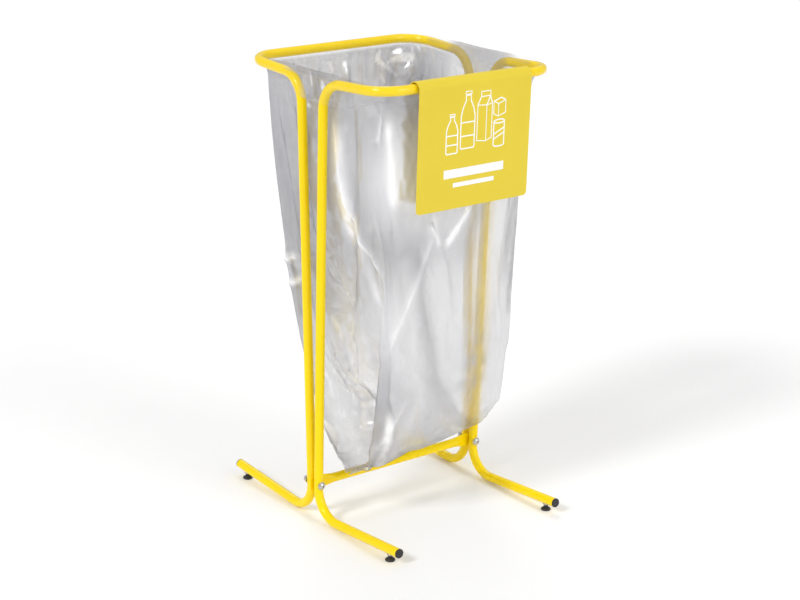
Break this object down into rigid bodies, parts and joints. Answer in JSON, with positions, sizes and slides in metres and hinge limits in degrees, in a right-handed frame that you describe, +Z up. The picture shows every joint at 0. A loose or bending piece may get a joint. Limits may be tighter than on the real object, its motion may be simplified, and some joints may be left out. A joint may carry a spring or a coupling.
{
  "type": "plastic bag holder",
  "caption": "Free-standing bag holder: bent-tube frames bolted back to back on a crossbar, film bag cuffed over the rim, hook-on sign and screw-in levelling feet.",
  "frame": {"origin": "on the floor, midway between the feet, under the middle of the rim", "axes": "+Z up, X along the crossbar and the wide face of the sign, the sign faces -Y"},
  "size_m": [0.4212, 0.537, 0.8886],
  "materials": {
    "powder_coat": "gloss yellow powder coat",
    "black_plastic": "moulded black plastic",
    "zinc": "bright zinc plate",
    "sign_sheet": "satin yellow sheet",
    "film": "clear glossy film",
    "white_ink": "printed white"
  },
  "bodies": {
    "stand": {"front_frame": "powder_coat", "rear_frame": "powder_coat", "crossbar": "powder_coat", "left_bolt": "zinc", "left_lock_nut": "zinc", "right_bolt": "zinc", "right_lock_nut": "zinc", "front_left_washer": "zinc", "front_left_end_cap": "black_plastic", "front_left_rivet_nut": "zinc", "rear_left_washer": "zinc", "rear_left_end_cap": "black_plastic", "rear_left_rivet_nut": "zinc", "front_right_washer": "zinc", "front_right_end_cap": "black_plastic", "front_right_rivet_nut": "zinc", "rear_right_washer": "zinc", "rear_right_end_cap": "black_plastic", "rear_right_rivet_nut": "zinc"},
    "front_left_foot": {"front_left_foot_pad": "black_plastic", "front_left_foot_stem": "zinc"},
    "rear_left_foot": {"rear_left_foot_pad": "black_plastic", "rear_left_foot_stem": "zinc"},
    "front_right_foot": {"front_right_foot_pad": "black_plastic", "front_right_foot_stem": "zinc"},
    "rear_right_foot": {"rear_right_foot_pad": "black_plastic", "rear_right_foot_stem": "zinc"},
    "bag": {"bag": "film"},
    "sign": {"sign_panel": "sign_sheet"}
  },
  "joints": [
    {"name": "front_left_foot_screw", "type": "slide", "parent": "stand", "child": "front_left_foot", "axis": [0, 0, -1], "range_m": [-0.001, 0.006]},
    {"name": "rear_left_foot_screw", "type": "slide", "parent": "stand", "child": "rear_left_foot", "axis": [0, 0, -1], "range_m": [-0.001, 0.006]},
    {"name": "front_right_foot_screw", "type": "slide", "parent": "stand", "child": "front_right_foot", "axis": [0, 0, -1], "range_m": [-0.001, 0.006]},
    {"name": "rear_right_foot_screw", "type": "slide", "parent": "stand", "child": "rear_right_foot", "axis": [0, 0, -1], "range_m": [-0.001, 0.006]},
    {"name": "bag_lift", "type": "slide", "parent": "stand", "child": "bag", "axis": [0, 0, 1], "range_m": [0, 0.8]},
    {"name": "sign_lift", "type": "slide", "parent": "bag", "child": "sign", "axis": [0, -0.0227, 0.9997], "range_m": [0, 0.26]}
  ]
}
